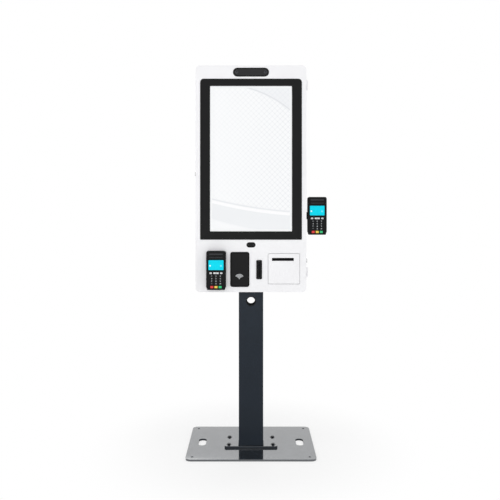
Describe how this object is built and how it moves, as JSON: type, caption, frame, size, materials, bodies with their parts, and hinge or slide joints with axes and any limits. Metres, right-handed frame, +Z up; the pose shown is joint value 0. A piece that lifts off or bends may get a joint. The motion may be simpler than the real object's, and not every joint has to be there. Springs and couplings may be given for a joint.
{
  "type": "self-service payment kiosk",
  "caption": "Floor-standing self-service payment kiosk: portrait touch screen on a slim column, with card terminals, contactless and card readers, receipt printer and a flat base plate.",
  "frame": {"origin": "centre of the base plate's underside", "axes": "+Z up, +X to the right for a customer standing in front, the screen faces -Y"},
  "size_m": [0.5835, 0.385, 1.611],
  "materials": {
    "stand_paint": "satin powder coat, dark navy grey",
    "zinc_steel": "zinc plated",
    "lock_steel": "polished nickel",
    "white_shell": "satin white powder coat",
    "black_gloss": "gloss black",
    "screen_glass": "clear flat glass",
    "module_housing": "matt dark grey",
    "black_plastic": "fine texture",
    "roller_rubber": "matt",
    "paper": "smooth thermal paper",
    "terminal_plastic": "fine texture",
    "terminal_window": "clear window over a lit display",
    "key_rubber": "silicone",
    "key_red": "moulded",
    "key_yellow": "moulded",
    "key_green": "moulded"
  },
  "bodies": {
    "stand": {"base_plate": "stand_paint", "foot_flange": "stand_paint", "foot_bolt_1": "zinc_steel", "foot_bolt_2": "zinc_steel", "foot_bolt_3": "zinc_steel", "foot_bolt_4": "zinc_steel", "column": "stand_paint", "column_cap": "black_plastic", "mount_plate": "stand_paint", "rear_housing": "white_shell", "housing_back": "white_shell", "hinge_lower_fixed": "white_shell", "hinge_upper_fixed": "white_shell", "door_lock_barrel": "lock_steel", "printer_lock_barrel": "lock_steel", "computer_box": "module_housing", "power_supply": "zinc_steel", "side_bracket": "black_plastic", "side_tilt_pin": "zinc_steel", "power_inlet": "black_plastic", "fan_frame": "black_plastic"},
    "door": {"front_door": "white_shell", "hinge_lower_moving": "white_shell", "hinge_upper_moving": "white_shell", "bezel_frame": "black_gloss", "touch_glass": "screen_glass", "display_panel": "module_housing", "camera_bar": "black_gloss", "sensor_window": "black_gloss", "contactless_reader": "black_gloss", "card_reader_bezel": "black_gloss", "card_reader_module": "module_housing", "printer_hinge_pin": "zinc_steel", "receipt_printer": "module_housing", "paper_spindle": "module_housing", "front_cradle": "black_plastic", "front_terminal_shell": "terminal_plastic", "front_terminal_back_cover": "terminal_plastic", "front_terminal_window": "terminal_window"},
    "printer_hatch": {"printer_door": "white_shell"},
    "platen": {"platen_roller": "roller_rubber"},
    "paper_roll": {"paper_roll": "paper"},
    "door_cam": {"door_lock_cam": "lock_steel"},
    "printer_cam": {"printer_lock_cam": "lock_steel"},
    "switch": {"power_switch": "black_plastic"},
    "fan": {"fan_rotor": "black_plastic"},
    "side_terminal": {"side_cradle": "black_plastic", "side_terminal_shell": "terminal_plastic", "side_terminal_back_cover": "terminal_plastic", "side_terminal_window": "terminal_window"},
    "front_keypad": {"front_terminal_keypad": "key_rubber"},
    "front_lid": {"front_terminal_paper_lid": "terminal_plastic"},
    "front_cancel": {"front_terminal_key_cancel": "key_red"},
    "front_clear": {"front_terminal_key_clear": "key_yellow"},
    "front_enter": {"front_terminal_key_enter": "key_green"},
    "side_keypad": {"side_terminal_keypad": "key_rubber"},
    "side_lid": {"side_terminal_paper_lid": "terminal_plastic"},
    "side_cancel": {"side_terminal_key_cancel": "key_red"},
    "side_clear": {"side_terminal_key_clear": "key_yellow"},
    "side_enter": {"side_terminal_key_enter": "key_green"}
  },
  "joints": [
    {"name": "front_door_hinge", "type": "hinge", "parent": "stand", "child": "door", "pos_m": [0.2313, -0.1455, 1.146], "axis": [0, 0, 1], "range_deg": [0, 85]},
    {"name": "printer_door_hinge", "type": "hinge", "parent": "door", "child": "printer_hatch", "pos_m": [0.0785, -0.1538, 0.7766], "axis": [0, 0, -1], "range_deg": [0, 95]},
    {"name": "platen_turn", "type": "hinge", "parent": "door", "child": "platen", "pos_m": [0.1308, -0.142, 0.7949], "axis": [1, 0, 0], "continuous": true},
    {"name": "paper_roll_turn", "type": "hinge", "parent": "door", "child": "paper_roll", "pos_m": [0.1308, -0.1247, 0.7361], "axis": [1, 0, 0], "continuous": true},
    {"name": "door_lock_turn", "type": "hinge", "parent": "stand", "child": "door_cam", "pos_m": [-0.2133, -0.1252, 1.167], "axis": [1, 0, 0], "range_deg": [0, 90]},
    {"name": "printer_lock_turn", "type": "hinge", "parent": "stand", "child": "printer_cam", "pos_m": [0.2133, -0.1332, 0.808], "axis": [1, 0, 0], "range_deg": [0, 90]},
    {"name": "power_switch_rock", "type": "hinge", "parent": "stand", "child": "switch", "pos_m": [-0.1345, -0.06695, 0.73], "axis": [1, 0, 0], "range_deg": [0, 10]},
    {"name": "fan_spin", "type": "hinge", "parent": "stand", "child": "fan", "pos_m": [-0.14, -0.0775, 1.52], "axis": [0, 1, 0], "continuous": true},
    {"name": "side_terminal_tilt", "type": "hinge", "parent": "stand", "child": "side_terminal", "pos_m": [0.276, -0.0815, 0.993], "axis": [1, 0, 0], "range_deg": [-12, 12]},
    {"name": "front_keypad_press", "type": "slide", "parent": "door", "child": "front_keypad", "axis": [0, 1, 0], "range_m": [0, 0.0008], "stiffness_N_per_m": 500},
    {"name": "front_cancel_press", "type": "slide", "parent": "door", "child": "front_cancel", "axis": [0, 1, 0], "range_m": [0, 0.001], "stiffness_N_per_m": 300},
    {"name": "front_clear_press", "type": "slide", "parent": "door", "child": "front_clear", "axis": [0, 1, 0], "range_m": [0, 0.001], "stiffness_N_per_m": 300},
    {"name": "front_enter_press", "type": "slide", "parent": "door", "child": "front_enter", "axis": [0, 1, 0], "range_m": [0, 0.001], "stiffness_N_per_m": 300},
    {"name": "front_paper_lid_hinge", "type": "hinge", "parent": "door", "child": "front_lid", "pos_m": [-0.142, -0.1887, 0.8476], "axis": [-1, 0, 0], "range_deg": [0, 110]},
    {"name": "side_keypad_press", "type": "slide", "parent": "side_terminal", "child": "side_keypad", "axis": [0, 1, 0], "range_m": [0, 0.0008], "stiffness_N_per_m": 500},
    {"name": "side_cancel_press", "type": "slide", "parent": "side_terminal", "child": "side_cancel", "axis": [0, 1, 0], "range_m": [0, 0.001], "stiffness_N_per_m": 300},
    {"name": "side_clear_press", "type": "slide", "parent": "side_terminal", "child": "side_clear", "axis": [0, 1, 0], "range_m": [0, 0.001], "stiffness_N_per_m": 300},
    {"name": "side_enter_press", "type": "slide", "parent": "side_terminal", "child": "side_enter", "axis": [0, 1, 0], "range_m": [0, 0.001], "stiffness_N_per_m": 300},
    {"name": "side_paper_lid_hinge", "type": "hinge", "parent": "side_terminal", "child": "side_lid", "pos_m": [0.276, -0.1173, 1.0685], "axis": [-1, 0, 0], "range_deg": [0, 110]}
  ]
}
